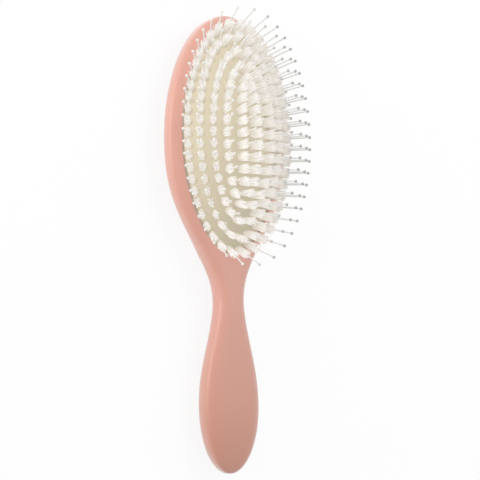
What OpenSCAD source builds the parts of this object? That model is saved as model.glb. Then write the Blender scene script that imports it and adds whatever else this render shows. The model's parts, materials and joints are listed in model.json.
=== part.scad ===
// Detangling brush with an oval air cushion. It lies on its back: +Z is the way the bristles point,
// +Y runs along the handle towards the head, and the origin is under the middle of the whole brush.

/* [Body] */
// Length of the brush from the butt of the handle to the crown of the head
body_length = 232; // [200:1:260]
// Width of the border of the head on each side of the cushion
border_width = 7; // [6:0.25:11]
// Width of the border of the head between the cushion and the crown
crown_border = 6; // [5.25:0.25:14]
// Depth of the back shell, below the parting plane
back_depth = 10; // [8:0.25:14]
// Depth of the front shell, above the parting plane
front_depth = 6.5; // [6:0.25:9]
// Width of the neck
neck_width = 15.6; // [12:0.2:20]
// Distance from the lower end of the cushion to the narrowest part of the neck
neck_drop = 24; // [21:1:34]
// Height that the back rises to at the neck
neck_rise = 3.5; // [0:0.25:5]
// Width of the handle
handle_width = 32.8; // [28:0.2:40]
// Distance from the butt of the handle to its widest part
handle_swell = 34; // [28:1:45]

/* [Cushion] */
// Width of the rubber dome where it leaves the head
cushion_width = 57; // [48:0.2:60]
// Length of the rubber dome where it leaves the head
cushion_length = 116; // [100:1:125]
// Height of the dome above its own edge
dome_height = 13.5; // [10:0.25:17]
// Wall of the rubber
cushion_wall = 1.5; // [1:0.1:2]
// Width of the flange that the two shells hold
flange_width = 1.8; // [1.2:0.1:2]
// Thickness of the lip of the front shell over the flange
lip_thickness = 1.8; // [1.6:0.1:2.5]
// Diameter of the air vent in the middle of the cushion
vent_bore = 1.6; // [1:0.1:2.5]

/* [Tufts] */
// Distance between neighbouring tufts along a ring
tuft_pitch = 5.75; // [5.5:0.05:8]
// Length of the ball-ended pins above the rubber
pin_length = 18.5; // [14:0.25:24]
// Thickness of a pin
pin_thickness = 0.65; // [0.5:0.05:0.8]
// Diameter of the ball on the end of a pin
ball_size = 1.5; // [1.2:0.05:2]
// Length of the bristles above the rubber
bristle_length = 8.5; // [6:0.25:13]
// Thickness of a lock of bristles
lock_thickness = 0.8; // [0.7:0.05:0.95]
// Diameter of the holes in the rubber for the tufts
tuft_hole = 3.3; // [3:0.05:3.6]
// Width of the slice of backing under each ring of tufts
backing_width = 2.8; // [2:0.1:3]
// Thickness of the backing
backing_thickness = 1.2; // [0.8:0.1:1.6]

/* [Fits] */
// Clearance between pieces that are held together
seat_gap = 0.25; // [0.1:0.05:0.4]
// Clearance between the rubber and what moves beside it
soft_gap = 0.4; // [0.3:0.05:0.6]

/* [Hidden] */

shell_color = [0.85, 0.63, 0.56];
rubber_color = [0.87, 0.82, 0.71];
tuft_color = [0.95, 0.94, 0.91];

// The head goes round the cushion. Reaches are measured along the brush from the cushion's middle.
half_width = cushion_width / 2;
half_length = cushion_length / 2;
head_width = cushion_width + 2 * border_width;
crown_reach = half_length + crown_border;
neck_reach = half_length + neck_drop;

// The middle of the cushion lies this far from the origin, which is under the middle of the brush.
cushion_y = body_length / 2 - crown_reach;
butt_reach = body_length - crown_reach;
swell_reach = butt_reach - handle_swell;

// Heights. The back is cut flat where the brush rests, this deep into its curve.
rest_cut = 0.3;
parting_z = back_depth;
rim_z = parting_z + front_depth;
lip_z = rim_z - lip_thickness;
cushion_z = lip_z - seat_gap;

// Curves of the outline: how late the head narrows, and how soon the handle swells.
crown_curve_share = 1.9;
head_curve_share = 1.36;
neck_curve_share = 1.1;
swell_curve_share = 0.85;
// Squareness of the sections: 2 is an ellipse, and larger is squarer.
front_head_share = 3.6;
front_grip_share = 3.2;
back_head_share = 2.4;
back_neck_share = 2;
crown_round_share = 5;
// The front rounds off sooner towards the butt than the back, so the butt droops a little.
front_butt_share = 1.9;
back_butt_share = 3.4;
// How soon the back rises from the head to the neck.
rise_curve_share = 0.7;

loft_steps = 58;
section_steps = 14;
overrun = 1;

// Circles of the dome: a long arc turned about an axis that lies under the rim of the cushion.
cross_radius = (pow(half_width, 2) + pow(dome_height, 2)) / (2 * dome_height);
long_radius = (pow(half_length, 2) + pow(dome_height, 2)) / (2 * dome_height);
axis_drop = cross_radius - dome_height;
axis_shift = long_radius - cross_radius;

// Rings of tufts, from the outside in, as shares of the half width and half length of the cushion.
ring_width_shares = [0.875, 0.745, 0.58, 0.395, 0.185];
ring_length_shares = [0.952, 0.843, 0.717, 0.597, 0.484];
// The tufts lean outwards a little more than the rubber under them.
cross_lean_share = 1.23;
long_lean_share = 1.3;
// The locks of a tuft spread from their root to their tip.
root_spread_share = 0.8;
tip_spread_share = 2.2;
tip_thickness_share = 0.8;
ring_walk_steps = 120;
backing_steps = 40;
outline_steps = 96;

function blend(t) = (1 - cos(180 * t)) / 2;

// Half width of the body at a distance v from the middle of the cushion, towards the crown.
function body_half_width(v) =
    v >= 0 ?
        head_width / 2
        * pow(max(0, 1 - pow(v / crown_reach, crown_curve_share)), 1 / crown_curve_share)
    : -v <= neck_reach ?
        neck_width / 2 + (head_width - neck_width) / 2
        * pow(1 - blend(pow(-v / neck_reach, head_curve_share)), neck_curve_share)
    : -v <= swell_reach ?
        neck_width / 2 + (handle_width - neck_width) / 2
        * blend(pow((-v - neck_reach) / (swell_reach - neck_reach), swell_curve_share))
    : handle_width / 2 * sqrt(max(0, 1 - pow((-v - swell_reach) / handle_swell, 2)));

// Share of the full depth at v: the crown and the butt round off.
function depth_share(v, butt_share) =
    v >= 0 ? pow(max(0, 1 - pow(v / crown_reach, crown_round_share)), 1 / crown_round_share)
    : -v <= swell_reach ? 1
    : pow(max(0, 1 - pow((-v - swell_reach) / handle_swell, butt_share)), 1 / butt_share);

// Squareness of the front at v: the head is flat with a round border, and the grip is rounder.
function front_squareness(v) =
    v >= -half_length ? front_head_share
    : -v >= neck_reach ? front_grip_share
    : front_head_share
        + (front_grip_share - front_head_share) * blend((-v - half_length) / (neck_reach - half_length));

// Squareness of the back at v: rounder at the neck.
function back_squareness(v) =
    back_head_share + (back_neck_share - back_head_share) * neck_share(v);

// Share of the neck's own shape at v: 0 at the head and at the widest part of the handle.
function neck_share(v) =
    -v <= half_length || -v >= swell_reach ? 0
    : -v <= neck_reach ? blend(pow((-v - half_length) / (neck_reach - half_length), rise_curve_share))
    : 1 - blend((-v - neck_reach) / (swell_reach - neck_reach));

// Half of a section: side is 1 for the front shell and -1 for the back shell.
function section(v, depth, squareness, butt_share, side) = [
    for (i = [0:section_steps])
        let (a = 180 * i / section_steps, c = cos(a), s = sin(a), e = 2 / squareness)
            [
                body_half_width(v) * sign(c) * pow(abs(c), e),
                v + cushion_y,
                parting_z + side * depth * depth_share(v, butt_share) * pow(max(0, s), e)
            ]
];

// The half body on one side of the parting plane, as a loft between its sections.
module half_body(side) {
    middle = (crown_reach - butt_reach) / 2;
    reach = body_length / 2;
    row = section_steps + 1;
    stations = [for (k = [1:loft_steps - 1]) middle - reach * cos(180 * k / loft_steps)];
    count = len(stations);
    points = concat(
        [
            for (v = stations)
                each side > 0 ? section(v, front_depth, front_squareness(v), front_butt_share, side)
                    : section(v, back_depth + rest_cut - neck_rise * neck_share(v), back_squareness(v),
                        back_butt_share, side)
        ],
        [[0, cushion_y - butt_reach, parting_z], [0, cushion_y + crown_reach, parting_z]]
    );
    butt = count * row;
    crown = butt + 1;
    walls = [
        for (k = [0:count - 2], i = [0:row - 1])
            let (a = k * row + i, b = k * row + (i + 1) % row, c = a + row, d = b + row)
                each [[a, c, b], [b, c, d]]
    ];
    ends = [
        for (i = [0:row - 1])
            let (j = (i + 1) % row)
                each [[butt, i, j], [crown, (count - 1) * row + j, (count - 1) * row + i]]
    ];
    faces = concat(walls, ends);
    polyhedron(points, side < 0 ? faces : [for (f = faces) [f[0], f[2], f[1]]]);
}

// How far the dome reaches from its long axis at v, and how high it stands above the cushion's edge.
function dome_reach(v, inset) = sqrt(max(0, pow(long_radius - inset, 2) - v * v)) - axis_shift;
function dome_height_at(x, v, inset) =
    sqrt(max(0, pow(dome_reach(v, inset), 2) - x * x)) - axis_drop;

// Outline of the cushion's edge, moved outwards by grow.
function cushion_outline(grow) = [
    for (k = [0:outline_steps - 1])
        let (
            t = 360 * k / outline_steps,
            w = sqrt(max(0, pow(dome_reach(half_length * sin(t), 0), 2) - pow(axis_drop, 2)))
        )
            [sign(cos(t)) * w + grow * cos(t), (half_length + grow) * sin(t)]
];

module cushion_prism(grow, low, high) {
    translate([0, cushion_y, low])
        linear_extrude(high - low)
            polygon(cushion_outline(grow));
}

module dome(inset) {
    translate([0, cushion_y, cushion_z - axis_drop])
        rotate([90, 0, 0])
            rotate_extrude($fn = 96)
                intersection() {
                    translate([-axis_shift, 0])
                        circle(long_radius - inset, $fn = 480);
                    translate([0, -long_radius])
                        square([long_radius, 2 * long_radius]);
                }
}

flange_low = cushion_z - cushion_wall;

module back_shell() {
    color(shell_color)
        difference() {
            union() {
                half_body(-1);
                cushion_prism(flange_width, parting_z - overrun, flange_low - seat_gap);
            }
            cushion_prism(-chamber_inset, floor_thickness, flange_low + overrun);
            translate([-head_width, -body_length, -2 * back_depth])
                cube([2 * head_width, 2 * body_length, 2 * back_depth]);
        }
}

// The chamber under the cushion, and the floor that is left in the back shell.
chamber_inset = 1;
floor_thickness = 3;

module front_shell() {
    color(shell_color)
        difference() {
            half_body(1);
            cushion_prism(soft_gap, parting_z - overrun, rim_z + overrun);
            cushion_prism(flange_width + seat_gap, parting_z - overrun, lip_z);
        }
}

module cushion_pad() {
    color(rubber_color)
        difference() {
            union() {
                intersection() {
                    dome(0);
                    translate([-head_width, -body_length, cushion_z])
                        cube([2 * head_width, 2 * body_length, dome_height + overrun]);
                }
                cushion_prism(flange_width, flange_low, cushion_z);
            }
            dome(cushion_wall);
            cushion_prism(-cushion_wall, flange_low - overrun, cushion_z);
            for (ring = [0:len(ring_width_shares) - 1], place = tuft_places(ring))
                at_tuft(place)
                    translate([0, 0, -2 * cushion_wall])
                        cylinder(h = 4 * cushion_wall, d = tuft_hole);
            translate([0, cushion_y, cushion_z])
                cylinder(h = dome_height + overrun, d = vent_bore, $fn = 32);
        }
}

// Point of a ring at angle t, in the cushion's plan.
function ring_point(ring, t) =
    [half_width * ring_width_shares[ring] * cos(t), half_length * ring_length_shares[ring] * sin(t)];
function on_dome(p, inset) = [p[0], p[1], dome_height_at(p[0], p[1], inset)];

// Lengths walked along a ring, step by step, for spacing the tufts evenly on the dome.
function walk(ring, k = 0, sum = 0) =
    k == ring_walk_steps ? [[sum, 360]]
    : let (
        a = on_dome(ring_point(ring, 360 * k / ring_walk_steps), 0),
        b = on_dome(ring_point(ring, 360 * (k + 1) / ring_walk_steps), 0)
    )
        concat([[sum, 360 * k / ring_walk_steps]], walk(ring, k + 1, sum + norm(b - a)));
function tuft_places(ring) =
    let (steps = walk(ring), whole = steps[ring_walk_steps][0], count = 2 * round(whole / tuft_pitch / 2))
        [for (k = [0:count - 1]) let (t = lookup(whole * k / count, steps)) [ring, t]];

// How far a tuft leans across the brush and along it at a point of the dome, and the way its pin points.
function cross_lean(p) = cross_lean_share * atan2(p[0], p[2] + axis_drop);
function long_lean(p) = long_lean_share * asin(p[1] / long_radius);
function pin_way(p) =
    [sin(cross_lean(p)) * cos(long_lean(p)), sin(long_lean(p)), cos(cross_lean(p)) * cos(long_lean(p))];

// Places what follows at a tuft, with +Z along its pin and +X along its ring.
module at_tuft(place) {
    p = on_dome(ring_point(place[0], place[1]), 0);
    heading = atan2(ring_length_shares[place[0]] * half_length * cos(place[1]),
        -ring_width_shares[place[0]] * half_width * sin(place[1]));
    translate([p[0], p[1] + cushion_y, p[2] + cushion_z])
        rotate([0, cross_lean(p), 0])
            rotate([-long_lean(p), 0, 0])
                rotate([0, 0, heading])
                    children();
}

// A strand through rings of sides points: each row of stations is [x, y, z, radius].
module strand(stations, sides) {
    count = len(stations);
    points = [
        for (s = stations, i = [0:sides - 1])
            let (a = 360 * i / sides)
                [s[0] + s[3] * cos(a), s[1] + s[3] * sin(a), s[2]]
    ];
    walls = [
        for (k = [0:count - 2], i = [0:sides - 1])
            let (a = k * sides + i, b = k * sides + (i + 1) % sides, c = a + sides, d = b + sides)
                each [[a, c, b], [b, c, d]]
    ];
    bottom = [for (i = [1:sides - 2]) [0, i, i + 1]];
    top = [for (i = [1:sides - 2]) [for (j = [0, i + 1, i]) (count - 1) * sides + j]];
    polyhedron(points, concat(walls, bottom, top));
}

// Depth of the strands' roots under the outer face of the rubber: inside the backing.
root_depth = cushion_wall + soft_gap + backing_thickness / 2;

module tuft() {
    shaft = pin_thickness / 2;
    strand([
        [0, 0, -root_depth, shaft],
        [0, 0, pin_length - ball_size, shaft],
        [0, 0, pin_length - ball_size / 2, ball_size / 2],
        [0, 0, pin_length, shaft / 2],
    ], 4);
    for (turn = [0, 180])
        rotate([0, 0, turn])
            strand([
                [root_spread_share * lock_thickness, 0, -root_depth, lock_thickness / 2],
                [
                    tip_spread_share * lock_thickness,
                    0,
                    bristle_length,
                    tip_thickness_share * lock_thickness / 2
                ],
            ], 3);
}

// The slice of backing under a ring, just inside the rubber, with upright edges. It follows the roots.
module backing(ring) {
    half = backing_width / 2;
    inset = cushion_wall + soft_gap;
    corners = [
        for (k = [0:backing_steps - 1])
            let (
                t = 360 * k / backing_steps,
                p = on_dome(ring_point(ring, t), 0),
                root = p - root_depth * pin_way(p)
            )
                each [
                    for (edge = [-half, half])
                        let (x = root[0] + edge * cos(t), y = root[1] + edge * sin(t))
                            each [
                                [x, y, dome_height_at(x, y, inset)],
                                [x, y, dome_height_at(x, y, inset + backing_thickness)]
                            ]
                ]
    ];
    loop = [0, 2, 3, 1];
    faces = [
        for (k = [0:backing_steps - 1], i = [0:3])
            let (
                j = (i + 1) % 4,
                n = (k + 1) % backing_steps,
                a = 4 * k + loop[i],
                b = 4 * k + loop[j],
                c = 4 * n + loop[i],
                d = 4 * n + loop[j]
            )
                each [[a, c, b], [b, c, d]]
    ];
    translate([0, cushion_y, cushion_z])
        polyhedron(corners, faces);
}

module tuft_ring(ring) {
    color(tuft_color) {
        backing(ring);
        for (place = tuft_places(ring))
            at_tuft(place)
                tuft();
    }
}

back_shell();
front_shell();
cushion_pad();
tuft_ring(0);  // tuft_ring_1
tuft_ring(1);  // tuft_ring_2
tuft_ring(2);  // tuft_ring_3
tuft_ring(3);  // tuft_ring_4
tuft_ring(4);  // tuft_ring_5
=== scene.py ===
# %% [markdown]
# # A detangling brush with an air cushion
# The brush lies on its back. Its body is one smooth coated piece with a round border, and a domed
# rubber sheet fills the opening in its head. Tufts of white bristles stand in five rings on the dome,
# and a long pin with a ball on its end rises from the middle of each tuft.
# The frame is loaded first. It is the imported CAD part, in metres, and every piece here fits to it.

# %% Load the frame
import json
import math

import bmesh
import bpy
import numpy as np
from mathutils import Matrix, Vector

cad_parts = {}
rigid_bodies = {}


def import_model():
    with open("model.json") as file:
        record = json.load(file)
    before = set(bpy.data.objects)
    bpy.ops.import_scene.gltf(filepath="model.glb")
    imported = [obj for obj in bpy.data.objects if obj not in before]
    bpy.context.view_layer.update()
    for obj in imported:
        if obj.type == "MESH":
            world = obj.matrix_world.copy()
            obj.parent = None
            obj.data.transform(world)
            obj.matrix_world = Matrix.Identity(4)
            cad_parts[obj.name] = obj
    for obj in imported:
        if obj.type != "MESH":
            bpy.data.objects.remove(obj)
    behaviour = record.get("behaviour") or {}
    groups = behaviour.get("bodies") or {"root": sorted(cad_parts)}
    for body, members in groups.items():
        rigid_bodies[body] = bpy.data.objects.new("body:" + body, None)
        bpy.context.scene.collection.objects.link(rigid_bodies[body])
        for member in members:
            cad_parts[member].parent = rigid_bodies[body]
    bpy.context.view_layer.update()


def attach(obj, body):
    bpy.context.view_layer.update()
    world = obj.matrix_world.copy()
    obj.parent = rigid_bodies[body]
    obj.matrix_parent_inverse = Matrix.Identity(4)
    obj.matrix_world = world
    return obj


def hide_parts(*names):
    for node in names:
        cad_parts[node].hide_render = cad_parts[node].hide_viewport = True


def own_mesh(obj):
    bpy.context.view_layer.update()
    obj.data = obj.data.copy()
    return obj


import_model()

MM = 0.001


# %% [markdown]
# ## Camera
# The photograph looks down on the brush from its left, with a long lens. A long lens far away keeps
# the head and the handle at nearly the same scale. A camera could be turned by hand until the view
# looks right. Here its three directions are worked out from three angles instead, so that each can
# be set by itself: a turn about the brush's length, a small tip towards the handle and a slight roll.

# %% Camera at the photograph's angle
TURN, TIP, ROLL = math.radians(35), math.radians(5), math.radians(1.05)
AIM_POINT = Vector((0, 2, 14.75))
AIM_RIGHT, AIM_DOWN = 4.23, 0.81
CAMERA_DISTANCE = 1250 * MM
VIEW_WIDTH = 241.9 * MM
SENSOR_WIDTH = 36
NEAREST_SEEN, FARTHEST_SEEN = 0.05, 20

side = Vector((math.cos(TURN), 0, math.sin(TURN)))
towards_camera = Vector(
    (-math.sin(TURN) * math.cos(TIP), -math.sin(TIP), math.cos(TURN) * math.cos(TIP))
)
upwards = towards_camera.cross(side)
screen_right = side * math.cos(ROLL) - upwards * math.sin(ROLL)
screen_up = side * math.sin(ROLL) + upwards * math.cos(ROLL)
aim = AIM_POINT * MM + screen_right * AIM_RIGHT * MM - screen_up * AIM_DOWN * MM

camera_data = bpy.data.cameras.new("camera")
camera_data.sensor_width = SENSOR_WIDTH
camera_data.lens = SENSOR_WIDTH * CAMERA_DISTANCE / VIEW_WIDTH
camera_data.clip_start, camera_data.clip_end = NEAREST_SEEN, FARTHEST_SEEN
camera = bpy.data.objects.new("camera", camera_data)
bpy.context.scene.collection.objects.link(camera)
turned = Matrix((screen_right, screen_up, towards_camera)).transposed().to_4x4()
camera.matrix_world = Matrix.Translation(aim + towards_camera * CAMERA_DISTANCE) @ turned
bpy.context.scene.camera = camera
print("lens in mm:", round(camera_data.lens, 1))

# %% [markdown]
# ## Sizes
# The body and the rubber have the same sizes and curves as in the CAD source, in millimetres. The
# CAD meshes could be shown as they are, but they are faceted. The scene repeats their rules with far
# more points, so its pieces are smooth and still fit the frame.
# x runs across the brush. v runs along it from the middle of the cushion, and grows to the crown.

# %% Sizes of the brush
CUSHION_Y = 52.0
CROWN_REACH, BUTT_REACH = 64.0, 168.0
HEAD_WIDTH, NECK_WIDTH, HANDLE_WIDTH = 71.0, 15.6, 32.8
NECK_REACH, NECK_RISE, HANDLE_SWELL = 82.0, 3.5, 34.0
SWELL_REACH = BUTT_REACH - HANDLE_SWELL
BACK_DEPTH, FRONT_DEPTH, REST_CUT = 10.0, 6.5, 0.3
LIP_THICKNESS, SEAT_GAP, SOFT_GAP = 1.8, 0.25, 0.4
PARTING_Z = BACK_DEPTH
RIM_Z = PARTING_Z + FRONT_DEPTH
LIP_Z = RIM_Z - LIP_THICKNESS
CUSHION_Z = LIP_Z - SEAT_GAP
HALF_WIDTH, HALF_LENGTH, DOME_HEIGHT = 28.5, 58.0, 13.5
WALL, FLANGE_WIDTH = 1.5, 1.8
print("heights of the rim and of the rubber's edge in mm:", RIM_Z, CUSHION_Z)

# %% [markdown]
# ## Curves of the body
# The outline has four stretches: the crown, the waist down to the neck, the swelling handle and the
# butt. Each could be drawn by hand as a Bezier curve. Here each is a formula whose exponents say how
# late it bends, so a curve can be set against the photograph by changing a number or two.
# The sections are superellipses. An exponent of 2 gives an ellipse, and a larger one is squarer.

# %% Outline, depths and sections of the body
CROWN_CURVE, HEAD_CURVE, NECK_CURVE, SWELL_CURVE = 1.9, 1.36, 1.1, 0.85
FRONT_HEAD, FRONT_GRIP, BACK_HEAD, BACK_NECK = 3.6, 3.2, 2.4, 2.0
CROWN_ROUND, FRONT_BUTT, BACK_BUTT, RISE_CURVE = 5.0, 1.9, 3.4, 0.7
TINY = 1e-9


def swing(t):
    """A smooth step from 0 to 1."""
    return (1 - np.cos(np.pi * np.clip(t, 0, 1))) / 2


def rounded(t, n):
    """A quarter of a superellipse: 1 at 0, and round down to 0 at 1."""
    return np.maximum(0, 1 - np.clip(t, 0, 1) ** n) ** (1 / n)


def half_width_at(v):
    """Half width of the body at v."""
    head = HEAD_WIDTH / 2 * rounded(v / CROWN_REACH, CROWN_CURVE)
    to_neck = np.clip(-v / NECK_REACH, 0, 1)
    above_neck = (1 - swing(to_neck**HEAD_CURVE)) ** NECK_CURVE
    waist = NECK_WIDTH / 2 + (HEAD_WIDTH - NECK_WIDTH) / 2 * above_neck
    to_swell = np.clip((-v - NECK_REACH) / (SWELL_REACH - NECK_REACH), 0, 1)
    handle = NECK_WIDTH / 2 + (HANDLE_WIDTH - NECK_WIDTH) / 2 * swing(to_swell**SWELL_CURVE)
    butt = HANDLE_WIDTH / 2 * rounded((-v - SWELL_REACH) / HANDLE_SWELL, 2)
    return np.select([v >= 0, -v <= NECK_REACH, -v <= SWELL_REACH], [head, waist, handle], butt)


def depth_share(v, butt_round):
    """The depths round off at the crown and at the butt."""
    crown = rounded(v / CROWN_REACH, CROWN_ROUND)
    butt = rounded((-v - SWELL_REACH) / HANDLE_SWELL, butt_round)
    return np.where(v >= 0, crown, butt)


def neck_share(v):
    """1 at the narrowest part of the neck, and 0 under the cushion and at the handle's swell."""
    into = swing(np.clip((-v - HALF_LENGTH) / (NECK_REACH - HALF_LENGTH), 0, 1) ** RISE_CURVE)
    out = 1 - swing((-v - NECK_REACH) / (SWELL_REACH - NECK_REACH))
    return np.where(-v <= NECK_REACH, into, out)


def front_squareness(v):
    """Exponent of the front's section at v. The head is a little squarer than the handle."""
    towards_grip = swing((-v - HALF_LENGTH) / (NECK_REACH - HALF_LENGTH))
    return FRONT_HEAD + (FRONT_GRIP - FRONT_HEAD) * towards_grip


def front_height(x, v):
    """Height of the front of the body over a point of its plan."""
    across = np.abs(x) / np.maximum(half_width_at(v), TINY)
    depth = FRONT_DEPTH * depth_share(v, FRONT_BUTT)
    return PARTING_Z + depth * rounded(across, front_squareness(v))


looked_at = np.array([0.0, -NECK_REACH, -SWELL_REACH])
print("half widths at the head, the neck and the swell in mm:", half_width_at(looked_at).round(2))

# %% [markdown]
# ## Curve of the dome
# The rubber dome is a long arc, from the crown to the neck, turned about an axis that lies low under
# it along the brush. A scaled sphere would come close, but this form has a true radius both ways, as
# the CAD solid has, and the opening in the head follows its edge.

# %% Dome of the rubber and its edge
CROSS_RADIUS = (HALF_WIDTH**2 + DOME_HEIGHT**2) / (2 * DOME_HEIGHT)
LONG_RADIUS = (HALF_LENGTH**2 + DOME_HEIGHT**2) / (2 * DOME_HEIGHT)
AXIS_DROP = CROSS_RADIUS - DOME_HEIGHT
AXIS_SHIFT = LONG_RADIUS - CROSS_RADIUS


def dome_height_at(x, v, inset=0.0):
    """Height of the rubber dome above its own edge."""
    reach = np.sqrt(np.maximum(0, (LONG_RADIUS - inset) ** 2 - v * v)) - AXIS_SHIFT
    return np.sqrt(np.maximum(0, reach**2 - x * x)) - AXIS_DROP


def cushion_outline(t, grow=0.0):
    """Plan of the cushion's edge at the angles t, moved outwards by grow."""
    v = HALF_LENGTH * np.sin(t)
    reach = np.sqrt(LONG_RADIUS**2 - v * v) - AXIS_SHIFT
    w = np.sqrt(np.maximum(0, reach**2 - AXIS_DROP**2))
    return np.sign(np.cos(t)) * w + grow * np.cos(t), (HALF_LENGTH + grow) * np.sin(t)


print("dome radii in mm:", round(CROSS_RADIUS, 2), round(LONG_RADIUS, 2))

# %% [markdown]
# ## One helper for meshes
# Each smooth piece is made of grids of points. Where two grids meet they have the same points, and
# merging the doubles joins them. The mesh is then one closed skin, and its shading has no seam.
# Where the front of the handle meets the head, some points of the two grids lie closer than the eye
# can tell. The thin faces between them would shade badly, so such points are merged or taken out.

# %% Make a mesh from grids of points
SAME_POINT, NO_LENGTH = 2e-6, 1e-7
ON_PLANE, CROWDED = 1e-6, 0.07 * MM


def grid_faces(first, rows, columns, closed):
    """Faces between the points of a grid, whose points are numbered from first."""
    faces = []
    for r in range(rows - 1):
        row, next_row = first + r * columns, first + (r + 1) * columns
        for c in range(columns if closed else columns - 1):
            d = (c + 1) % columns
            faces.append((row + c, row + d, next_row + d, next_row + c))
    return faces


def thin_out(edit, plane_y):
    """Merges crowded points near a plane across the brush, and takes out those left beside it."""
    crowded = [vert for vert in edit.verts if abs(vert.co.y - plane_y) < CROWDED]
    bmesh.ops.remove_doubles(edit, verts=crowded, dist=CROWDED)
    beside = [vert for vert in edit.verts if ON_PLANE < abs(vert.co.y - plane_y) < CROWDED]
    bmesh.ops.dissolve_verts(edit, verts=beside)
    print("points taken out beside the join:", len(beside))


def count_open_edges(mesh):
    """Edges that don't lie between exactly two faces."""
    uses = np.zeros(len(mesh.edges), int)
    for loop in mesh.loops:
        uses[loop.edge_index] += 1
    return int((uses != 2).sum())


def piece_from_grids(name, grids, thin_out_y=None):
    """A smooth piece, with its doubles merged and its faces turned outwards.

    grids holds (points, closed) pairs, with points of shape rows, columns, 3 in millimetres.
    thin_out_y is where two grids meet in crowded points, if they do.
    """
    points, faces = [], []
    for grid, closed in grids:
        rows, columns = grid.shape[:2]
        faces += grid_faces(len(points), rows, columns, closed)
        points += [tuple(p) for p in grid.reshape(-1, 3) * MM]
    mesh = bpy.data.meshes.new(name)
    mesh.from_pydata(points, [], faces)
    edit = bmesh.new()
    edit.from_mesh(mesh)
    bmesh.ops.remove_doubles(edit, verts=edit.verts, dist=SAME_POINT)
    if thin_out_y is not None:
        thin_out(edit, thin_out_y * MM)
    bmesh.ops.dissolve_degenerate(edit, dist=NO_LENGTH, edges=edit.edges)
    bmesh.ops.recalc_face_normals(edit, faces=edit.faces)
    edit.to_mesh(mesh)
    edit.free()
    mesh.shade_smooth()
    piece = bpy.data.objects.new(name, mesh)
    bpy.context.scene.collection.objects.link(piece)
    triangles = sum(len(polygon.vertices) - 2 for polygon in mesh.polygons)
    print(name, "triangles:", triangles, "open edges:", count_open_edges(mesh))
    return piece


# %% [markdown]
# ## The body
# Such a body is two shells welded together and coated, so no seam shows. A subdivision surface
# could give its flowing form, but a loft through sections keeps to the outline everywhere. So the
# back and the handle are lofts. Round the cushion the points run from the outline of the head to the
# rim of the opening, so that the rim is a clean line with a small rounding. From there they go down
# into the pocket that holds the rubber and along the floor of the air chamber, and the skin is closed.

# %% Body: the back and the front of the handle
JOIN_V = -75.0
HEAD_STATIONS, HANDLE_STATIONS, SECTION_STEPS = 150, 90, 48
TO_THE_BACK, TO_THE_FRONT = -1, 1


def shares_crowding_to_end(count):
    """Shares from 0 to 1 that lie closer together towards 1, where the ends of the body are round."""
    return np.sin(np.pi / 2 * np.arange(count + 1) / count)


def section_rows(stations, depth, squareness, butt_round, way):
    """Half sections, one row for each station, from the right side over to the left."""
    angle = np.pi * np.arange(SECTION_STEPS + 1) / SECTION_STEPS
    across, up = np.cos(angle), np.sin(angle)
    across[SECTION_STEPS // 2], up[0], up[-1] = 0, 0, 0  # exact, so that two grids meet
    power = (2 / squareness)[:, None]
    x = half_width_at(stations)[:, None] * np.sign(across) * np.abs(across) ** power
    z = PARTING_Z + way * (depth * depth_share(stations, butt_round))[:, None] * up**power
    y = np.repeat(stations[:, None] + CUSHION_Y, len(angle), 1)
    return np.stack([x, y, z], -1)


head_v = JOIN_V + (CROWN_REACH - JOIN_V) * shares_crowding_to_end(HEAD_STATIONS)
handle_v = JOIN_V - (BUTT_REACH + JOIN_V) * shares_crowding_to_end(HANDLE_STATIONS)
all_v = np.concatenate([handle_v[::-1], head_v[1:]])
back_depth = BACK_DEPTH + REST_CUT - NECK_RISE * neck_share(all_v)
back_squareness = BACK_HEAD + (BACK_NECK - BACK_HEAD) * neck_share(all_v)
back_rows = section_rows(all_v, back_depth, back_squareness, BACK_BUTT, TO_THE_BACK)
back_rows[..., 2] = np.maximum(back_rows[..., 2], 0)  # the flat that the brush lies on
grip_rows = section_rows(handle_v, FRONT_DEPTH, front_squareness(handle_v), FRONT_BUTT, TO_THE_FRONT)
print("back rows:", back_rows.shape, "front rows of the handle:", grip_rows.shape)

# %% Body: the border round the cushion
RIM_ROUND = 0.8
BORDER_STEPS, BORDER_SWING, BORDER_CROWDING = 26, math.radians(46), 1.25

right_side = np.stack([half_width_at(head_v), head_v, np.full(head_v.shape, PARTING_Z)], -1)
left_side = right_side[::-1][1:] * [-1, 1, 1]
join_row = grip_rows[0][::-1][1:-1] - [0, CUSHION_Y, 0]
outer = np.concatenate([right_side, left_side, join_row])
around = np.arctan2(outer[:, 1] / CROWN_REACH, outer[:, 0] / (HEAD_WIDTH / 2))

inner_x, inner_v = cushion_outline(around, SOFT_GAP + RIM_ROUND)
side_angle = BORDER_SWING * (np.arange(BORDER_STEPS + 1) / BORDER_STEPS) ** BORDER_CROWDING
climb = 1 - np.cos(side_angle) ** (2 / FRONT_HEAD)
fraction = (climb / climb[-1])[:, None]
border_x = outer[:, 0] + (inner_x - outer[:, 0]) * fraction
border_v = outer[:, 1] + (inner_v - outer[:, 1]) * fraction
border_z = front_height(border_x, border_v)
border_z[0] = outer[:, 2]
border_rows = np.stack([border_x, border_v + CUSHION_Y, border_z], -1)
print("rows and points of the border:", border_rows.shape[:2])

# %% Body: the rounded rim, the pocket for the rubber and the air chamber
RIM_STEPS = 7
CHAMBER_INSET, CHAMBER_FLOOR = 1.0, 3.0
FLOOR_SHARES = (0.6, 0.2, 0.0)


def row_round_opening(grow, z, share=1.0):
    """A row of points that follows the opening, grown outwards or shrunk to a share of it."""
    x, v = cushion_outline(around, grow)
    return np.stack([x * share, v * share + CUSHION_Y, np.full(x.shape, z)], -1)


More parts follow.
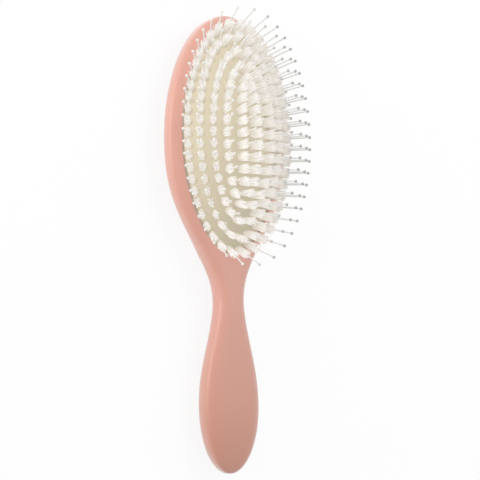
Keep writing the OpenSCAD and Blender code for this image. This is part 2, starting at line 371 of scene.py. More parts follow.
rim_top = front_height(inner_x, inner_v)
inner_rows = []
for step in range(1, RIM_STEPS + 1):
    a = np.pi / 2 * step / RIM_STEPS
    grow = SOFT_GAP + RIM_ROUND * (1 - math.sin(a))
    inner_rows.append(row_round_opening(grow, rim_top - RIM_ROUND * (1 - math.cos(a))))
pocket = FLANGE_WIDTH + SEAT_GAP
ledge_z = CUSHION_Z - WALL - SEAT_GAP
for grow, z in [(SOFT_GAP, LIP_Z), (pocket, LIP_Z), (pocket, ledge_z), (-CHAMBER_INSET, ledge_z)]:
    inner_rows.append(row_round_opening(grow, z))
for share in (1.0, *FLOOR_SHARES):
    inner_rows.append(row_round_opening(-CHAMBER_INSET, CHAMBER_FLOOR, share))
head_rows = np.concatenate([border_rows, np.stack(inner_rows)])

all_grids = [(back_rows, False), (grip_rows, False), (head_rows, True)]
body = piece_from_grids("body_skin", all_grids, thin_out_y=JOIN_V + CUSHION_Y)

# %% [markdown]
# ## Where the tufts stand
# On the real brush the tufts stand at even steps along five rings. They could be scattered on the
# dome, but the rows would be lost. So each ring is an oval on the dome, and its tufts are counted off
# along its true curved length, as in the CAD source. The rings' widths, the rows' places and the lean
# of the tufts follow the photograph more closely than the CAD does, by a millimetre or two.

# %% Rings on the dome
RING_WIDTHS = [0.915, 0.755, 0.58, 0.39, 0.13]
RING_LENGTHS = [0.952, 0.843, 0.717, 0.597, 0.484]
RING_TUFTS = [46, 40, 34, 26, 20]
WALK_STEPS, ROW_SHIFT, STEP_ASIDE = 120, 1.4, 0.01
EDGE_ROOM, EDGE_SAMPLES = 2.1, 1441


def ring_points(ring, t, shift=0.0):
    """Points of a ring at the angles t. The shift moves those at the sides towards the crown."""
    x = HALF_WIDTH * RING_WIDTHS[ring] * np.cos(t)
    v = HALF_LENGTH * RING_LENGTHS[ring] * np.sin(t) + shift * np.cos(t) ** 2
    return np.stack([x, v, dome_height_at(x, v)], -1)


def keep_off_edge(x, v):
    """Moves points in where the rubber's edge is near, so that no bristle meets the body."""
    edge_x, edge_v = cushion_outline(np.linspace(0, 2 * np.pi, EDGE_SAMPLES))
    from_edge_x, from_edge_v = x[:, None] - edge_x, v[:, None] - edge_v
    distance = np.hypot(from_edge_x, from_edge_v)
    each, nearest = np.arange(len(x)), distance.argmin(axis=1)
    push = np.maximum(0, EDGE_ROOM / distance[each, nearest] - 1)
    return x + from_edge_x[each, nearest] * push, v + from_edge_v[each, nearest] * push


def even_angles(ring):
    """Angles at which the tufts of a ring stand at even distances on the dome."""
    steps = np.radians(360 * np.arange(WALK_STEPS + 1) / WALK_STEPS)
    strides = np.linalg.norm(np.diff(ring_points(ring, steps), axis=0), axis=1)
    walked = np.concatenate([[0], np.cumsum(strides)])
    count = RING_TUFTS[ring]
    return np.interp(walked[-1] * np.arange(count) / count, walked, steps)


print("first angles in the outer ring, in degrees:", np.degrees(even_angles(0)[:4]).round(1))

# %% Lean of the tufts
CROSS_LEAN, MOST_LEAN, LEAN_LIMIT = 1.26, math.radians(45), 6
LONG_LEAN = 1.3
LOW_LEAN, LOW_END_LEAN, LOW_END_CURVE = math.radians(9), math.radians(23), 5


def cross_lean(x, h):
    """The tufts lean out across the brush, and the outer rings lean nearly alike."""
    free = CROSS_LEAN * np.arctan2(np.abs(x), h + AXIS_DROP)
    return np.sign(x) * free / (1 + (free / MOST_LEAN) ** LEAN_LIMIT) ** (1 / LEAN_LIMIT)


def long_lean(v):
    """Towards the handle they stand nearly upright, and only the last ones lean out."""
    low = np.abs(v) / HALF_LENGTH
    towards_crown = LONG_LEAN * np.arcsin(v / LONG_RADIUS)
    towards_handle = -LOW_LEAN * low - LOW_END_LEAN * (low / RING_LENGTHS[0]) ** LOW_END_CURVE
    return np.where(v > 0, towards_crown, towards_handle)


def ring_places(ring):
    """Roots of the tufts in millimetres, directions of the pins and directions along the ring."""
    t = even_angles(ring)
    x, v = keep_off_edge(*ring_points(ring, t, ROW_SHIFT).T[:2])
    h = dome_height_at(x, v)
    lean_x, lean_y = cross_lean(x, h), long_lean(v)
    lean = [np.sin(lean_x) * np.cos(lean_y), np.sin(lean_y), np.cos(lean_x) * np.cos(lean_y)]
    lean = np.stack(lean, -1)
    ahead = ring_points(ring, t + STEP_ASIDE, ROW_SHIFT) - ring_points(ring, t - STEP_ASIDE, ROW_SHIFT)
    ahead -= lean * (ahead * lean).sum(1, keepdims=True)
    ahead /= np.linalg.norm(ahead, axis=1, keepdims=True)
    return np.stack([x, v + CUSHION_Y, h + CUSHION_Z], -1), lean, ahead


rings = [ring_places(ring) for ring in range(len(RING_TUFTS))]
roots = np.concatenate([place for place, lean, ahead in rings])
print("tufts in each ring:", [len(place) for place, lean, ahead in rings], "in all:", len(roots))

# %% [markdown]
# ## The rubber cushion
# The sheet is a dome with a flat flange that the body traps all round. Moulded rubber stands a little
# proud round each tuft, because the tuft was pushed through a smaller hole. The collars could be
# joined on with booleans, but 166 of them are slow and leave poor faces. So the dome is a fine grid,
# and the collars are pressed into its points by their distance from the nearest tuft. The same
# distance gives a share of shade, which is kept on the mesh as an attribute, for the material.

# %% Rubber: the dome with a collar round each tuft
COLLAR_REACH, COLLAR_HEIGHT, HOLE_REACH, HOLE_DEPTH = 1.95, 0.22, 1.15, 0.7
DOME_RINGS, DOME_STEPS = 96, 420


def distance_to_tufts(points):
    """Distance of each point to the nearest root of a tuft, in millimetres."""
    nearest = np.full(len(points), np.inf)
    for root in roots:
        nearest = np.minimum(nearest, np.linalg.norm(points - root, axis=1))
    return nearest


turn = 2 * np.pi * np.arange(DOME_STEPS) / DOME_STEPS
edge_x, edge_v = cushion_outline(turn)
from_middle = (np.arange(DOME_RINGS + 1) / DOME_RINGS)[:, None]
dome_x, dome_v = edge_x * from_middle, edge_v * from_middle
reach = np.sqrt(LONG_RADIUS**2 - dome_v**2) - AXIS_SHIFT
slope = [dome_x / reach, dome_v / LONG_RADIUS, np.sqrt(np.maximum(0, 1 - (dome_x / reach) ** 2))]
slope = np.stack(slope, -1)
slope /= np.linalg.norm(slope, axis=-1, keepdims=True)
dome = np.stack([dome_x, dome_v + CUSHION_Y, dome_height_at(dome_x, dome_v) + CUSHION_Z], -1)

nearest = distance_to_tufts(dome.reshape(-1, 3)).reshape(dome_x.shape)
collar = COLLAR_HEIGHT * (1 - swing((nearest - HOLE_REACH) / (COLLAR_REACH - HOLE_REACH)))
hole = HOLE_DEPTH * (1 - swing(nearest / HOLE_REACH))
dome = dome + slope * (collar - hole)[..., None]
dome[-1, :, 2] = CUSHION_Z  # the edge stays level
print("points of the dome:", nearest.size, "near a tuft:", int((nearest < COLLAR_REACH).sum()))

# %% Rubber: the flange and the inner side
FOOT_WIDTH, FLANGE_DROP, INNER_INSET = 0.35, 0.05, 0.5
INNER_SHARES = (0.9, 0.75, 0.5, 0.25, 0.0)
SHADE_START, SHADE_WIDTH = 1.0, 1.6

top_z, under_z = CUSHION_Z - FLANGE_DROP, CUSHION_Z - WALL
flange = [(FOOT_WIDTH, top_z), (FLANGE_WIDTH, top_z), (FLANGE_WIDTH, under_z), (-WALL, under_z)]
under_rows = []
for grow, z in flange:
    x, v = cushion_outline(turn, grow)
    under_rows.append(np.stack([x, v + CUSHION_Y, np.full(x.shape, z)], -1))
inside_x, inside_v = cushion_outline(turn, -WALL - INNER_INSET)
for share in INNER_SHARES:
    x, v = inside_x * share, inside_v * share
    under_rows.append(np.stack([x, v + CUSHION_Y, dome_height_at(x, v, WALL) + CUSHION_Z], -1))
cushion = piece_from_grids("rubber_cushion", [(np.concatenate([dome, np.stack(under_rows)]), True)])

near_tuft = cushion.data.attributes.new("near_tuft", "FLOAT", "POINT")
nearest = distance_to_tufts(np.array([vertex.co for vertex in cushion.data.vertices]) / MM)
shade = 1 - swing((nearest - SHADE_START) / SHADE_WIDTH)
near_tuft.data.foreach_set("value", shade.astype(np.float32))
print("mean shade of the rubber:", round(float(shade.mean()), 3))

# %% [markdown]
# ## Materials
# Every finish is procedural and reads object coordinates or an attribute of the mesh, so it stays in
# place from every side. Pictures could give the same grain, but they would have to be drawn and
# stretched over the forms. A value that is the same all over is set on the shader's own socket.


# %% Material helpers
def new_material(name):
    """A material, its nodes, its links and its main shader."""
    material = bpy.data.materials.new(name)
    material.use_nodes = True
    nodes = material.node_tree.nodes
    return material, nodes, material.node_tree.links, nodes["Principled BSDF"]


def set_values(node, values):
    """Sets constants on a node's own sockets, by their labels."""
    for label, value in values.items():
        node.inputs[label].default_value = value


def srgb(r, g, b):
    """A colour given on a 0 to 255 scale, as the linear colour that a socket takes.

    The numbers are those of the sRGB formula.
    """
    shares = [c / 255 for c in (r, g, b)]
    linear = [(c / 12.92) if c <= 0.04045 else ((c + 0.055) / 1.055) ** 2.4 for c in shares]
    return (*linear, 1.0)


def add_noise(nodes, links, scale, detail):
    """Noise in object coordinates. A larger scale gives a finer pattern."""
    coordinates = nodes.new("ShaderNodeTexCoord")
    noise = nodes.new("ShaderNodeTexNoise")
    set_values(noise, {"Scale": scale, "Detail": detail, "Roughness": 0.5})
    links.new(coordinates.outputs["Object"], noise.inputs["Vector"])
    return noise.outputs["Fac"]


def read_attribute(nodes, name):
    attribute = nodes.new("ShaderNodeAttribute")
    attribute.attribute_name = name
    return attribute.outputs["Fac"]


def map_range(nodes, links, value, low, high):
    """Turns a value from 0 to 1 into one from low to high."""
    node = nodes.new("ShaderNodeMapRange")
    set_values(node, {"To Min": low, "To Max": high})
    links.new(value, node.inputs["Value"])
    return node.outputs["Result"]


def share_along(nodes, links, axis, start, end):
    """0 at start and 1 at end, measured along one axis of the brush."""
    place = nodes.new("ShaderNodeSeparateXYZ")
    links.new(nodes.new("ShaderNodeTexCoord").outputs["Object"], place.inputs[0])
    node = nodes.new("ShaderNodeMapRange")
    set_values(node, {"From Min": start, "From Max": end})
    links.new(place.outputs[axis], node.inputs["Value"])
    return node.outputs["Result"]


print("middle grey as a linear colour:", [round(c, 3) for c in srgb(128, 128, 128)])


# %% Helpers that mix colours and shaders
def mix_colours(nodes, links, factor, first, second):
    """Goes from the first colour to the second. Each is a colour or another node's result."""
    mix = nodes.new("ShaderNodeMix")
    mix.data_type = "RGBA"
    links.new(factor, mix.inputs["Factor"])
    for socket, value in ((mix.inputs["A"], first), (mix.inputs["B"], second)):
        if isinstance(value, tuple):
            socket.default_value = value
        else:
            links.new(value, socket)
    return mix.outputs["Result"]


def mix_shaders(nodes, links, factor, first, second):
    """Goes from the first shader to the second. The factor is a number or a node's result."""
    mix = nodes.new("ShaderNodeMixShader")
    if isinstance(factor, float):
        mix.inputs[0].default_value = factor
    else:
        links.new(factor, mix.inputs[0])
    links.new(first, mix.inputs[1])
    links.new(second, mix.inputs[2])
    return mix.outputs[0]


def add_bump(nodes, links, height, strength, distance, shader):
    """Lets the light fall on a finish as if its grain stood out by the distance."""
    bump = nodes.new("ShaderNodeBump")
    set_values(bump, {"Strength": strength, "Distance": distance})
    links.new(height, bump.inputs["Height"])
    links.new(bump.outputs["Normal"], shader.inputs["Normal"])


def let_light_through(nodes, links, shader, tone, share):
    """Mixes a share of a translucent shader of the same tone into a finish."""
    glow = nodes.new("ShaderNodeBsdfTranslucent")
    links.new(tone, glow.inputs["Color"])
    through = mix_shaders(nodes, links, share, shader.outputs[0], glow.outputs[0])
    links.new(through, nodes["Material Output"].inputs["Surface"])


# %% [markdown]
# ## The coat of the body
# The body has a soft-touch coat: matt, with a very fine grain, and paler where it turns away from the
# eye. Gloss alone would show sharp lamps, and a plain matt paint would have dark sides. So a rough
# shader gets a full sheen, which lightens the sides, and a thin rough clear coat, which spreads
# the light of the lamp. The tone clouds a little and deepens down the handle.

# %% Soft-touch coat of the body
coat, nodes, links, shader = new_material("soft_touch_coat")
cloud = add_noise(nodes, links, scale=38, detail=2)
tone = mix_colours(nodes, links, cloud, srgb(200, 142, 125), srgb(205, 148, 131))
down_the_handle = share_along(nodes, links, "Y", start=-30 * MM, end=-105 * MM)
tone = mix_colours(nodes, links, down_the_handle, tone, srgb(192, 132, 111))
links.new(tone, shader.inputs["Base Color"])
grain = add_noise(nodes, links, scale=2600, detail=2)
links.new(map_range(nodes, links, grain, low=0.5, high=0.62), shader.inputs["Roughness"])
add_bump(nodes, links, grain, strength=0.08, distance=0.00005, shader=shader)
set_values(
    shader,
    {
        "Specular IOR Level": 0.4,
        "Sheen Weight": 1.0,
        "Sheen Roughness": 0.5,
        "Sheen Tint": srgb(250, 252, 252),
        "Coat Weight": 0.4,
        "Coat Roughness": 0.4,
    },
)
body.data.materials.append(coat)
print("finish of the body:", coat.name)

# %% [markdown]
# ## The rubber
# Moulded cream rubber is matt and a little mottled, and it looks darker at the foot of each tuft,
# where less light comes in. That shade could be left to the lamps, but the strands here cast no
# shadow. A shader can't know where the tufts are, so it reads the attribute that the mesh carries.

# %% Matt rubber of the cushion
rubber, nodes, links, shader = new_material("cream_rubber")
mottle = add_noise(nodes, links, scale=120, detail=3)
base = mix_colours(nodes, links, mottle, srgb(197, 186, 160), srgb(203, 192, 168))
shade = map_range(nodes, links, read_attribute(nodes, "near_tuft"), low=0, high=0.7)
links.new(mix_colours(nodes, links, shade, base, srgb(188, 174, 148)), shader.inputs["Base Color"])
fine = add_noise(nodes, links, scale=1800, detail=2)
links.new(map_range(nodes, links, fine, low=0.5, high=0.66), shader.inputs["Roughness"])
add_bump(nodes, links, fine, strength=0.1, distance=0.00006, shader=shader)
cushion.data.materials.append(rubber)
print("finish of the cushion:", rubber.name)

# %% [markdown]
# ## The nylon of the bristles
# Thin white nylon lets some light through, so a translucent shader is mixed into a satin one. Glass
# would be truer for one strand, but thousands of glass strands turn grey and grainy. The strands cast
# no shadow, so their shade is painted into their colour: darker towards the root, which the attribute
# "reach" gives, and a little greyer on the right of the brush, where the tufts would hide each other.

# %% Nylon of the bristles
nylon, nodes, links, shader = new_material("bristle_nylon")
cloud = add_noise(nodes, links, scale=420, detail=2)
tone = mix_colours(nodes, links, cloud, srgb(243, 242, 240), srgb(248, 247, 245))
# Painted shade: greyer towards the right of the brush, where the tufts would shade each other.
to_the_right = share_along(nodes, links, "X", start=-4 * MM, end=24 * MM)
tone = mix_colours(nodes, links, to_the_right, tone, srgb(236, 232, 227))
# Painted shade: darker towards the root of each strand, where the tuft would shade itself.
tone = mix_colours(nodes, links, read_attribute(nodes, "reach"), srgb(214, 206, 190), tone)
links.new(tone, shader.inputs["Base Color"])
streak = add_noise(nodes, links, scale=900, detail=1)
links.new(map_range(nodes, links, streak, low=0.38, high=0.5), shader.inputs["Roughness"])
set_values(shader, {"Specular IOR Level": 0.3})
let_light_through(nodes, links, shader, tone, share=0.3)
print("finish of the bristles:", nylon.name)

# %% [markdown]
# ## The nylon of the pins
# The pins are smoother than the bristles and shine more. On the right they stand out over the edge
# of the brush, and there their clear balls look grey against the pale floor, from the shade and the
# darker surroundings that they show. That grey is painted into the colour: painted shade and painted
# reflection. The tree of the pins marks the balls with the attribute "ball", so that the balls turn
# grey across the brush and the shafts don't.

# %% Pale nylon of the pins
pin_nylon, nodes, links, shader = new_material("pin_nylon")
cloud = add_noise(nodes, links, scale=300, detail=2)
tone = mix_colours(nodes, links, cloud, srgb(224, 222, 218), srgb(234, 232, 228))
on_ball = read_attribute(nodes, "ball")
# Painted shade and painted reflection: the grey that the clear balls show on the right of the brush.
outside = mix_colours(nodes, links, on_ball, srgb(222, 221, 219), srgb(186, 186, 184))
to_the_right = share_along(nodes, links, "X", start=-2 * MM, end=20 * MM)
tone = mix_colours(nodes, links, to_the_right, tone, outside)
links.new(tone, shader.inputs["Base Color"])
streak = add_noise(nodes, links, scale=1200, detail=1)
links.new(map_range(nodes, links, streak, low=0.2, high=0.3), shader.inputs["Roughness"])
set_values(shader, {"Specular IOR Level": 0.4})
let_light_through(nodes, links, shader, tone, share=0.35)
print("finish of the pins:", pin_nylon.name)

# %% [markdown]
# ## Bristles and pins
# A tuft is a bundle of fine nylon strands, folded in half and stapled in the rubber, so it fans out
# from a narrow root. Hair particles could grow such strands, but they would still have to be made a
# mesh. Geometry Nodes suit this well: one strand is made once, each tuft point is copied once for
# each strand, and the copies are spread and tilted by fixed seeds. The pins are a second, simpler
# tree that puts one pin with a ball on its end at each tuft point.


# %% Helpers for the node trees
def start_tree(name, sockets):
    """A tree with a geometry input, these named inputs and a geometry output."""
    tree = bpy.data.node_groups.new(name, "GeometryNodeTree")
    tree.interface.new_socket(name="Geometry", in_out="INPUT", socket_type="NodeSocketGeometry")
    for label, kind in sockets.items():
        tree.interface.new_socket(name=label, in_out="INPUT", socket_type=kind)
    tree.interface.new_socket(name="Geometry", in_out="OUTPUT", socket_type="NodeSocketGeometry")
    return tree, tree.nodes.new("NodeGroupInput").outputs


class Wiring:
    """Adds nodes to a tree, links what they are given and hands back what they put out."""

    def __init__(self, tree):
        self.tree = tree

    def add(self, kind, inputs=None, **settings):
        node = self.tree.nodes.new(kind)
        for key, value in settings.items():
            setattr(node, key, value)
        for key, value in (inputs or {}).items():
            socket = node.inputs[key]
            if isinstance(value, bpy.types.NodeSocket):
                self.tree.links.new(value, socket)
            else:
                socket.default_value = value
        return node.outputs

    def maths(self, operation, a, b=None):
        inputs = {0: a} if b is None else {0: a, 1: b}
        return self.add("ShaderNodeMath", inputs, operation=operation)[0]

    def vectors(self, operation, a, b):
        return self.add("ShaderNodeVectorMath", {0: a, 1: b}, operation=operation)[0]

    def scaled(self, vector, factor):
        return self.add("ShaderNodeVectorMath", {0: vector, "Scale": factor}, operation="SCALE")[0]

    def vector(self, **sides):
        return self.add("ShaderNodeCombineXYZ", sides)[0]

    def random(self, low, high, seed, identity):
        """Inputs 2 and 3 and output 1 of this node are the ones for plain numbers."""
        inputs = {2: low, 3: high, "ID": identity, "Seed": seed}
        return self.add("FunctionNodeRandomValue", inputs, data_type="FLOAT")[1]

    def read(self, name):
        inputs = {"Name": name}
        return self.add("GeometryNodeInputNamedAttribute", inputs, data_type="FLOAT_VECTOR")["Attribute"]

    def store(self, geometry, name, value):
        inputs = {"Geometry": geometry, "Name": name, "Value": value}
        return self.add("GeometryNodeStoreNamedAttribute", inputs, data_type="FLOAT", domain="POINT")[0]

    def points_of(self, mesh):
        return self.add("GeometryNodeMeshToPoints", {"Mesh": mesh})[0]

    def turned_to(self, direction):
        return self.add("FunctionNodeAlignRotationToVector", {"Vector": direction}, axis="Z")[0]


# %% Helpers for tubes and for the end of a tree
def add_tube(wire, curve, along, thinner_by, thickness, sides):
    """A closed tube along a curve. It gets thinner along its way, by the share thinner_by."""
    taper = wire.maths("SUBTRACT", 1.0, wire.maths("MULTIPLY", along, thinner_by))
    curve = wire.add("GeometryNodeSetCurveRadius", {"Curve": curve, "Radius": taper})[0]
    half = wire.maths("MULTIPLY", thickness, 0.5)
    outline = wire.add("GeometryNodeCurvePrimitiveCircle", {"Resolution": sides, "Radius": half})[0]
    tube = wire.tree.nodes.new("GeometryNodeCurveToMesh")
    tube.inputs["Fill Caps"].default_value = True
    wire.tree.links.new(curve, tube.inputs["Curve"])
    wire.tree.links.new(outline, tube.inputs["Profile Curve"])
    if "Scale" in tube.inputs:  # newer versions of Blender read the taper here
        wire.tree.links.new(taper, tube.inputs["Scale"])
    return tube.outputs[0]


def close_tree(wire, geometry, material):
    """Every tree ends in real geometry with its material."""
    real = wire.add("GeometryNodeRealizeInstances", {"Geometry": geometry})[0]
    smooth = wire.add("GeometryNodeSetShadeSmooth", {"Geometry": real})[0]
    finished = wire.add("GeometryNodeSetMaterial", {"Geometry": smooth, "Material": material})[0]
    leave = wire.tree.nodes.new("NodeGroupOutput")
    wire.tree.links.new(finished, leave.inputs[0])
    print(wire.tree.name, "nodes:", len(wire.tree.nodes))


# %% [markdown]
# ## The tree of the bristles
# First comes one strand: a slightly bowed curve that starts under the rubber and gets thinner to its
# tip. Then each tuft point is copied, and the copies are laid out like the seeds of a sunflower, by
# the golden angle, so that they fill the tuft evenly. At last each strand is pointed along the lean of
# its tuft and fanned outwards. A wave round the tuft makes some parts fan more than others, so the
# tuft parts into a few locks, as real bristles do.

# %% Bristles: one strand
SHARE_UNDER_RUBBER, BOW, TIP_THINNER_BY = 0.08, 0.03, 0.45
STRAND_STEPS, STRAND_SIDES = 3, 4

bristle_tree, entry = start_tree(
    "bristle_tufts",
    {
        "Strands": "NodeSocketInt",
        "Tuft radius": "NodeSocketFloat",
        "Length": "NodeSocketFloat",
        "Thickness": "NodeSocketFloat",
        "Spread": "NodeSocketFloat",
        "Seed": "NodeSocketInt",
        "Material": "NodeSocketMaterial",
    },
)
wire = Wiring(bristle_tree)
length = entry["Length"]
bow = {
    "Resolution": STRAND_STEPS,
    "Start": wire.vector(Z=wire.maths("MULTIPLY", length, -SHARE_UNDER_RUBBER)),
    "Middle": wire.vector(Z=wire.maths("MULTIPLY", length, 0.5)),
    "End": wire.vector(X=wire.maths("MULTIPLY", length, BOW), Z=length),
}
strand_curve = wire.add("GeometryNodeCurveQuadraticBezier", bow)[0]
along_strand = wire.add("GeometryNodeSplineParameter")["Factor"]
marked = wire.store(strand_curve, "reach", along_strand)
strand = add_tube(wire, marked, along_strand, TIP_THINNER_BY, entry["Thickness"], STRAND_SIDES)
print("nodes after the strand:", len(bristle_tree.nodes))

# %% Bristles: the strands' places in the tuft
GOLDEN_ANGLE, ANGLE_SHAKE = 2.39996, 0.9
ALONG_RING, ACROSS_RING = 1.32, 0.7

strands = entry["Strands"]
copies = wire.add(
    "GeometryNodeDuplicateElements",
    {"Geometry": wire.points_of(entry["Geometry"]), "Amount": strands},
    domain="POINT",
)
copy_number = copies["Duplicate Index"]
identity = wire.add("GeometryNodeInputIndex")[0]
lean = wire.read("lean")
ahead = wire.scaled(wire.read("ahead"), ALONG_RING)
across = wire.vectors("CROSS_PRODUCT", lean, wire.scaled(ahead, ACROSS_RING))
filled = wire.maths("DIVIDE", wire.maths("ADD", copy_number, 0.5), strands)
away = wire.maths("SQRT", filled)
shaken = wire.random(0.0, ANGLE_SHAKE, entry["Seed"], identity)
angle = wire.maths("ADD", wire.maths("MULTIPLY", copy_number, GOLDEN_ANGLE), shaken)
along_part = wire.scaled(ahead, wire.maths("MULTIPLY", away, wire.maths("COSINE", angle)))
across_part = wire.scaled(across, wire.maths("MULTIPLY", away, wire.maths("SINE", angle)))
outward = wire.vectors("ADD", along_part, across_part)
offset = wire.scaled(outward, entry["Tuft radius"])
placed = wire.add("GeometryNodeSetPosition", {"Geometry": copies["Geometry"], "Offset": offset})[0]
print("nodes after the places:", len(bristle_tree.nodes))

# %% Bristles: the way each strand points, and the end of the tree
SHAKE, SHAKE_SEED = 0.02, 5
LOCKS, LOCK_DEPTH, LOCK_SEED = 4.0, 0.45, 23
FAN_CURVE = 1.2
SPIN_SEED = 11
SHORTEST, LONGEST, STRETCH_SEED = 0.9, 1.04, 17

shake = wire.add(
    "FunctionNodeRandomValue",
    {0: (-SHAKE,) * 3, 1: (SHAKE,) * 3, "ID": identity, "Seed": SHAKE_SEED},
    data_type="FLOAT_VECTOR",
)[0]
tuft_number = wire.maths("FLOOR", wire.maths("DIVIDE", wire.maths("ADD", identity, 0.5), strands))
turn_of_tuft = wire.random(0.0, math.tau, LOCK_SEED, tuft_number)
wave = wire.maths("COSINE", wire.maths("ADD", wire.maths("MULTIPLY", angle, LOCKS), turn_of_tuft))
locks = wire.maths("ADD", 1.0, wire.maths("MULTIPLY", wave, LOCK_DEPTH))
outer_more = wire.maths("POWER", away, FAN_CURVE)
fan = wire.maths("MULTIPLY", wire.maths("MULTIPLY", entry["Spread"], locks), outer_more)
pointing = wire.vectors("ADD", wire.vectors("ADD", lean, wire.scaled(outward, fan)), shake)
spin_angle = wire.random(0.0, math.tau, SPIN_SEED, identity)
spin = wire.add("FunctionNodeEulerToRotation", {0: wire.vector(Z=spin_angle)})[0]
rotation = wire.add(
    "FunctionNodeRotateRotation", {0: wire.turned_to(pointing), 1: spin}, rotation_space="LOCAL"
)[0]
stretch = wire.random(SHORTEST, LONGEST, STRETCH_SEED, identity)
strand_scale = wire.vector(X=1.0, Y=1.0, Z=stretch)
tufts = wire.add(
    "GeometryNodeInstanceOnPoints",
    {"Points": placed, "Instance": strand, "Rotation": rotation, "Scale": strand_scale},
)[0]
close_tree(wire, tufts, entry["Material"])

# %% [markdown]
# ## The tree of the pins
# A pin is a smooth shaft with a ball on its end, so that it doesn't scratch. It could be one turned
# profile, but the ball needs a mark of its own for the material. So the tree joins a tube and a small
# sphere, stores the mark on the sphere alone, and puts the pin at each tuft point along its lean.

# %% Tree for the pins
PIN_SHARE_UNDER_RUBBER, PIN_THINNER_BY = 0.05, 0.2
SHAFT_POINTS, SHAFT_SIDES, BALL_SUBDIVISIONS = 4, 7, 2

pin_tree, entry = start_tree(
    "ball_ended_pins",
    {
        "Length": "NodeSocketFloat",
        "Thickness": "NodeSocketFloat",
        "Ball size": "NodeSocketFloat",
        "Material": "NodeSocketMaterial",
    },
)
wire = Wiring(pin_tree)
ball_radius = wire.maths("MULTIPLY", entry["Ball size"], 0.5)
ball_middle = wire.vector(Z=wire.maths("SUBTRACT", entry["Length"], ball_radius))
root = wire.vector(Z=wire.maths("MULTIPLY", entry["Length"], -PIN_SHARE_UNDER_RUBBER))
line = wire.add("GeometryNodeCurvePrimitiveLine", {"Start": root, "End": ball_middle})[0]
line = wire.add("GeometryNodeResampleCurve", {"Curve": line, "Count": SHAFT_POINTS})[0]
along_shaft = wire.add("GeometryNodeSplineParameter")["Factor"]
shaft = add_tube(wire, line, along_shaft, PIN_THINNER_BY, entry["Thickness"], SHAFT_SIDES)
ball_settings = {"Radius": ball_radius, "Subdivisions": BALL_SUBDIVISIONS}
ball = wire.add("GeometryNodeMeshIcoSphere", ball_settings)[0]
ball = wire.store(ball, "ball", 1.0)
ball = wire.add("GeometryNodeTransform", {"Geometry": ball, "Translation": ball_middle})[0]
pin = pin_tree.nodes.new("GeometryNodeJoinGeometry")
for half_of_pin in (ball, shaft):
    pin_tree.links.new(half_of_pin, pin.inputs[0])
pins = wire.add(
    "GeometryNodeInstanceOnPoints",
    {
        "Points": wire.points_of(entry["Geometry"]),
        "Instance": pin.outputs[0],
        "Rotation": wire.turned_to(wire.read("lean")),
    },
)[0]
close_tree(wire, pins, entry["Material"])

# %% [markdown]
# ## Growing the rings
# Each ring sinks by its own amount when the cushion is pressed, so each ring becomes a piece of
# bristles and a piece of pins. A tree runs on a mesh that has only the ring's points, and the result
# is kept as a plain mesh, because the export drops instances.

# %% Helper that grows a ring
ROOT_SINK = 0.5


def grow(name, tree, values, ring):
    """Runs a tree on a ring's points and keeps the result as a plain mesh."""
    place, lean, ahead = ring
    mesh = bpy.data.meshes.new(name + "_points")
    mesh.from_pydata([tuple(p) for p in (place - lean * ROOT_SINK) * MM], [], [])
    for label, vectors in (("lean", lean), ("ahead", ahead)):
        attribute = mesh.attributes.new(label, "FLOAT_VECTOR", "POINT")
        attribute.data.foreach_set("vector", vectors.astype(np.float32).ravel())
    seedling = bpy.data.objects.new(name + "_points", mesh)
    modifier = seedling.modifiers.new(name, "NODES")
    modifier.node_group = tree
    for item in tree.interface.items_tree:
        if item.item_type == "SOCKET" and item.in_out == "INPUT" and item.name in values:
            modifier[item.identifier] = values[item.name]
    bpy.context.scene.collection.objects.link(seedling)
    graph = bpy.context.evaluated_depsgraph_get()
    grown_mesh = bpy.data.meshes.new_from_object(seedling.evaluated_get(graph), depsgraph=graph)
    bpy.data.objects.remove(seedling)
    grown_mesh.name = name
    grown_mesh.materials.clear()
    grown_mesh.materials.append(values["Material"])
    for polygon in grown_mesh.polygons:
        polygon.material_index = 0
    piece = bpy.data.objects.new(name, grown_mesh)
    bpy.context.scene.collection.objects.link(piece)
    grown_mesh.calc_loop_triangles()
    print(name, "triangles:", len(grown_mesh.loop_triangles))
    return piece


# %% Grow the bristles and the pins, ring by ring
BRISTLES = {
    "Strands": 104,
    "Tuft radius": 1.38 * MM,
    "Length": 8.9 * MM,
    "Thickness": 0.4 * MM,
    "Spread": 0.07,
    "Material": nylon,
}
PINS = {"Length": 19.6 * MM, "Thickness": 0.85 * MM, "Ball size": 1.6 * MM, "Material": pin_nylon}

bristle_pieces, pin_pieces = [], []
for number, ring in enumerate(rings, start=1):
    seeded = dict(BRISTLES, Seed=number)
    bristle_pieces.append(grow(f"bristles_ring_{number}", bristle_tree, seeded, ring))
    pin_pieces.append(grow(f"pins_ring_{number}", pin_tree, PINS, ring))
for piece in bristle_pieces + pin_pieces:
    # So many strands would shade the rubber and each other more than the photograph shows.
    piece.visible_shadow = False
    piece.visible_diffuse = False
print("strands in all:", BRISTLES["Strands"] * len(roots), "pins in all:", len(roots))

# %% [markdown]
# ## Floor and light
# The floor is plain and nearly white. More light would make it white, but it would bleach the brush
# as well. So the camera sees mostly the floor's own white, and a share of real shading leaves the
# brush its shadow. The backdrop is white to the camera in the same way, and the world's light on the
# brush is set apart from it. A large soft lamp on the left gives the light band along the body.

# %% Floor and backdrop
FLOOR_SIZE, FLOOR_DROP, OWN_WHITE = 6, 0.0001, 0.88
WORLD_LIGHT = 0.67


def seen_directly(nodes, links):
    """1 for rays from the camera, and for what gloss and clear pieces show, and 0 for other rays."""
    path = nodes.new("ShaderNodeLightPath")
    seen = path.outputs["Is Camera Ray"]
    for kind in ("Is Transmission Ray", "Is Glossy Ray"):
        either = nodes.new("ShaderNodeMath")
        either.operation = "MAXIMUM"
        links.new(seen, either.inputs[0])
        links.new(path.outputs[kind], either.inputs[1])
        seen = either.outputs[0]
    return seen


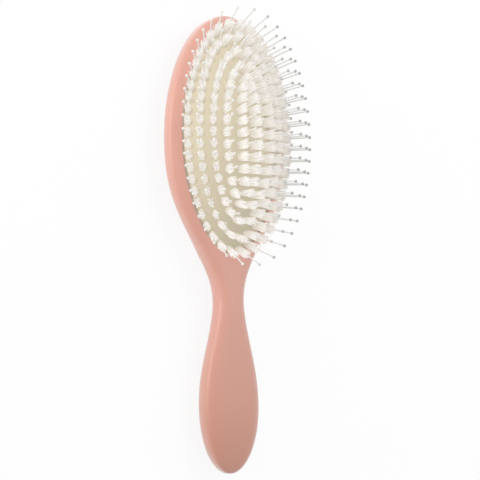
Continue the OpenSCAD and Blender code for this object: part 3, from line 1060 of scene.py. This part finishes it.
bpy.ops.mesh.primitive_plane_add(size=FLOOR_SIZE, location=(0, 0, -FLOOR_DROP))
floor = bpy.context.object
floor.name = "floor"
floor_paint, nodes, links, shader = new_material("floor_white")
set_values(shader, {"Base Color": (0.9, 0.9, 0.9, 1), "Roughness": 0.9, "Specular IOR Level": 0.1})
white = nodes.new("ShaderNodeEmission")
set_values(white, {"Strength": 1.0})
with_shadow = mix_shaders(nodes, links, OWN_WHITE, shader.outputs[0], white.outputs[0])
choice = mix_shaders(nodes, links, seen_directly(nodes, links), shader.outputs[0], with_shadow)
links.new(choice, nodes["Material Output"].inputs["Surface"])
floor.data.materials.append(floor_paint)

world = bpy.data.worlds.new("studio")
bpy.context.scene.world = world
world.use_nodes = True
nodes, links = world.node_tree.nodes, world.node_tree.links
sky, backdrop = nodes["Background"], nodes.new("ShaderNodeBackground")
set_values(sky, {"Color": (1, 1, 1, 1), "Strength": WORLD_LIGHT})
set_values(backdrop, {"Color": (1, 1, 1, 1), "Strength": 1.0})
choice = mix_shaders(nodes, links, seen_directly(nodes, links), sky.outputs[0], backdrop.outputs[0])
links.new(choice, nodes["World Output"].inputs["Surface"])
print("floor and world are in place")


# %% Lamps
def add_lamp(name, place, target, size, power):
    data = bpy.data.lights.new(name, "AREA")
    data.shape, data.size, data.energy = "DISK", size, power
    lamp = bpy.data.objects.new(name, data)
    lamp.location = place
    lamp.rotation_euler = (Vector(target) - Vector(place)).to_track_quat("-Z", "Y").to_euler()
    bpy.context.scene.collection.objects.link(lamp)
    print(name, "watts:", power)


add_lamp("left_lamp", place=(-0.6, 0.18, 0.05), target=(0, 0.05, 0.01), size=0.4, power=3.5)
add_lamp("top_lamp", place=(0.4, 0.45, 0.65), target=(0, 0.03, 0.01), size=0.9, power=3.8)
bpy.context.scene.view_settings.view_transform = "Standard"

# %% [markdown]
# ## Which piece moves with what
# The body and the rubber stay with the shells. The bristles and the pins of a ring sink with their
# ring when the cushion is pressed. A cloth or shape key could bend the rubber, but a dome on an air
# cushion simply gets flatter. The print at the end compares how far each ring sinks with how far
# the dome under it would sink if it kept a set share of its height.

# %% Bodies of the pieces, and how far the dome would flatten
KEEP_AT_FULL_PRESS = 0.665
RING_SINKS = [0.96, 1.88, 2.76, 3.48, 4.0]

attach(body, "body")
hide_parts("back_shell", "front_shell")
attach(cushion, "body")
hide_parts("cushion_pad")
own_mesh(cushion)
for number, (bristles, pins) in enumerate(zip(bristle_pieces, pin_pieces), start=1):
    for piece in (bristles, pins):
        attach(piece, f"ring_{number}")
    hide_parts(f"tuft_ring_{number}")
for ring, ring_sinks in zip(rings, RING_SINKS):
    height = float((ring[0][:, 2] - CUSHION_Z).mean())
    dome_sinks = (1 - KEEP_AT_FULL_PRESS) * height
    print("a ring sinks", ring_sinks, "mm and the dome under it", round(dome_sinks, 2), "mm")
